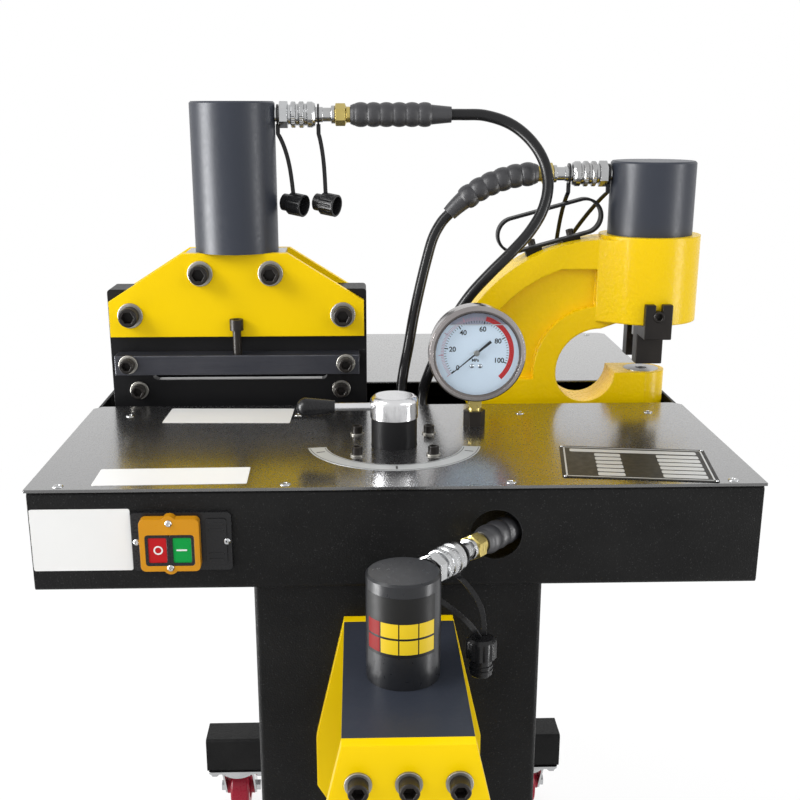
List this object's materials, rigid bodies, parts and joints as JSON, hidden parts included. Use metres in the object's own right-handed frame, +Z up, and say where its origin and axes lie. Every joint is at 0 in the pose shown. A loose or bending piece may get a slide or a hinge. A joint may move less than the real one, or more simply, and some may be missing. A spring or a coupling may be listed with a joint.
{
  "type": "busbar processing machine",
  "caption": "Wheeled hydraulic bench with a cutter, a punch and a bender for busbars, a selector valve, a pressure gauge and hoses.",
  "frame": {"origin": "on the floor, below the middle of the table", "axes": "+X to the right seen from the front, +Y to the back, +Z up"},
  "size_m": [0.723, 1.0189, 1.193],
  "materials": {
    "black_paint": "satin",
    "yellow_paint": "gloss",
    "black_oxide": "semi-gloss",
    "zinc": "satin",
    "ground_steel": "satin",
    "chrome": "polished",
    "brass": "satin",
    "rubber": "matt",
    "wheel_red": "gloss",
    "black_plastic": "satin",
    "orange_plastic": "gloss",
    "red_plastic": "gloss",
    "green_plastic": "gloss",
    "dial_white": "matt",
    "needle_black": "matt",
    "glass": "clear"
  },
  "bodies": {
    "machine": {"table_tray": "black_paint", "front_cover": "black_paint", "rear_cover": "black_paint", "cabinet": "black_paint", "legs": "black_paint", "oil_tank": "black_oxide", "pump_motor": "black_oxide", "valve_block": "black_oxide", "caster_plates": "zinc", "cutter_body": "black_paint", "cutter_plates": "yellow_paint", "cutter_head_block": "ground_steel", "cutter_cylinder": "black_oxide", "cutter_lower_blade": "ground_steel", "cutter_clamp_bar": "black_oxide", "plate_bolts": "black_oxide", "quick_couplers": "zinc", "hose_nuts": "brass", "hose_sleeves": "rubber", "dust_caps": "rubber", "cutter_hose": "rubber", "punch_hose": "rubber", "punch_frame": "yellow_paint", "punch_cylinder": "black_oxide", "punch_die": "ground_steel", "punch_strippers": "black_oxide", "punch_handle": "black_oxide", "bender_plates": "yellow_paint", "bender_block": "black_oxide", "bender_cylinder": "black_oxide", "bender_die": "black_oxide", "valve_hub": "black_paint", "gauge_case": "chrome", "gauge_dial": "dial_white", "gauge_glass": "glass", "gauge_stem": "brass", "gauge_fitting": "black_oxide", "switch_base": "black_plastic", "switch_frame": "orange_plastic"},
    "cutter_slide": {"cutter_ram": "ground_steel", "cutter_blade": "ground_steel"},
    "cutter_clamp": {"cutter_clamp_screw": "black_oxide"},
    "punch_slide": {"punch_ram": "ground_steel", "punch_tool": "ground_steel"},
    "bender_slide": {"bender_ram": "ground_steel", "bender_punch": "black_oxide"},
    "selector_lever": {"valve_cap": "chrome", "lever_rod": "chrome", "lever_grip": "black_plastic"},
    "gauge_pointer": {"gauge_needle": "needle_black"},
    "stop_push": {"stop_button": "red_plastic"},
    "start_push": {"start_button": "green_plastic"},
    "front_left_swivel": {"front_left_fork": "zinc"},
    "front_left_roller": {"front_left_wheel": "wheel_red"},
    "front_right_swivel": {"front_right_fork": "zinc"},
    "front_right_roller": {"front_right_wheel": "wheel_red"},
    "rear_left_swivel": {"rear_left_fork": "zinc"},
    "rear_left_roller": {"rear_left_wheel": "wheel_red"},
    "rear_right_swivel": {"rear_right_fork": "zinc"},
    "rear_right_roller": {"rear_right_wheel": "wheel_red"}
  },
  "joints": [
    {"name": "cutter_stroke", "type": "slide", "parent": "machine", "child": "cutter_slide", "axis": [0, 0, -1], "range_m": [0, 0.025]},
    {"name": "clamp_travel", "type": "slide", "parent": "machine", "child": "cutter_clamp", "axis": [0, 0, -1], "range_m": [0, 0.012]},
    {"name": "punch_stroke", "type": "slide", "parent": "machine", "child": "punch_slide", "axis": [0, 0, -1], "range_m": [0, 0.02]},
    {"name": "bender_stroke", "type": "slide", "parent": "machine", "child": "bender_slide", "axis": [0, 0, -1], "range_m": [0, 0.06]},
    {"name": "lever_turn", "type": "hinge", "parent": "machine", "child": "selector_lever", "pos_m": [0, -0.231, 0.875], "axis": [0, 0, 1], "range_deg": [0, 180]},
    {"name": "pointer_turn", "type": "hinge", "parent": "machine", "child": "gauge_pointer", "pos_m": [0.092, -0.177, 0.929], "axis": [0, 1, 0], "range_deg": [0, 240], "stiffness_Nm_per_rad": 0.002},
    {"name": "stop_press", "type": "slide", "parent": "machine", "child": "stop_push", "axis": [0, 1, 0], "range_m": [0, 0.004], "stiffness_N_per_m": 300},
    {"name": "start_press", "type": "slide", "parent": "machine", "child": "start_push", "axis": [0, 1, 0], "range_m": [0, 0.004], "stiffness_N_per_m": 300},
    {"name": "front_left_swivel_turn", "type": "hinge", "parent": "machine", "child": "front_left_swivel", "pos_m": [-0.25, -0.34, 0.0917], "axis": [0, 0, 1], "continuous": true},
    {"name": "front_left_roll", "type": "hinge", "parent": "front_left_swivel", "child": "front_left_roller", "pos_m": [-0.25, -0.31, 0.0375], "axis": [1, 0, 0], "continuous": true},
    {"name": "front_right_swivel_turn", "type": "hinge", "parent": "machine", "child": "front_right_swivel", "pos_m": [0.25, -0.34, 0.0917], "axis": [0, 0, 1], "continuous": true},
    {"name": "front_right_roll", "type": "hinge", "parent": "front_right_swivel", "child": "front_right_roller", "pos_m": [0.25, -0.31, 0.0375], "axis": [1, 0, 0], "continuous": true},
    {"name": "rear_left_swivel_turn", "type": "hinge", "parent": "machine", "child": "rear_left_swivel", "pos_m": [-0.25, 0.34, 0.0917], "axis": [0, 0, 1], "continuous": true},
    {"name": "rear_left_roll", "type": "hinge", "parent": "rear_left_swivel", "child": "rear_left_roller", "pos_m": [-0.25, 0.37, 0.0375], "axis": [1, 0, 0], "continuous": true},
    {"name": "rear_right_swivel_turn", "type": "hinge", "parent": "machine", "child": "rear_right_swivel", "pos_m": [0.25, 0.34, 0.0917], "axis": [0, 0, 1], "continuous": true},
    {"name": "rear_right_roll", "type": "hinge", "parent": "rear_right_swivel", "child": "rear_right_roller", "pos_m": [0.25, 0.37, 0.0375], "axis": [1, 0, 0], "continuous": true}
  ]
}
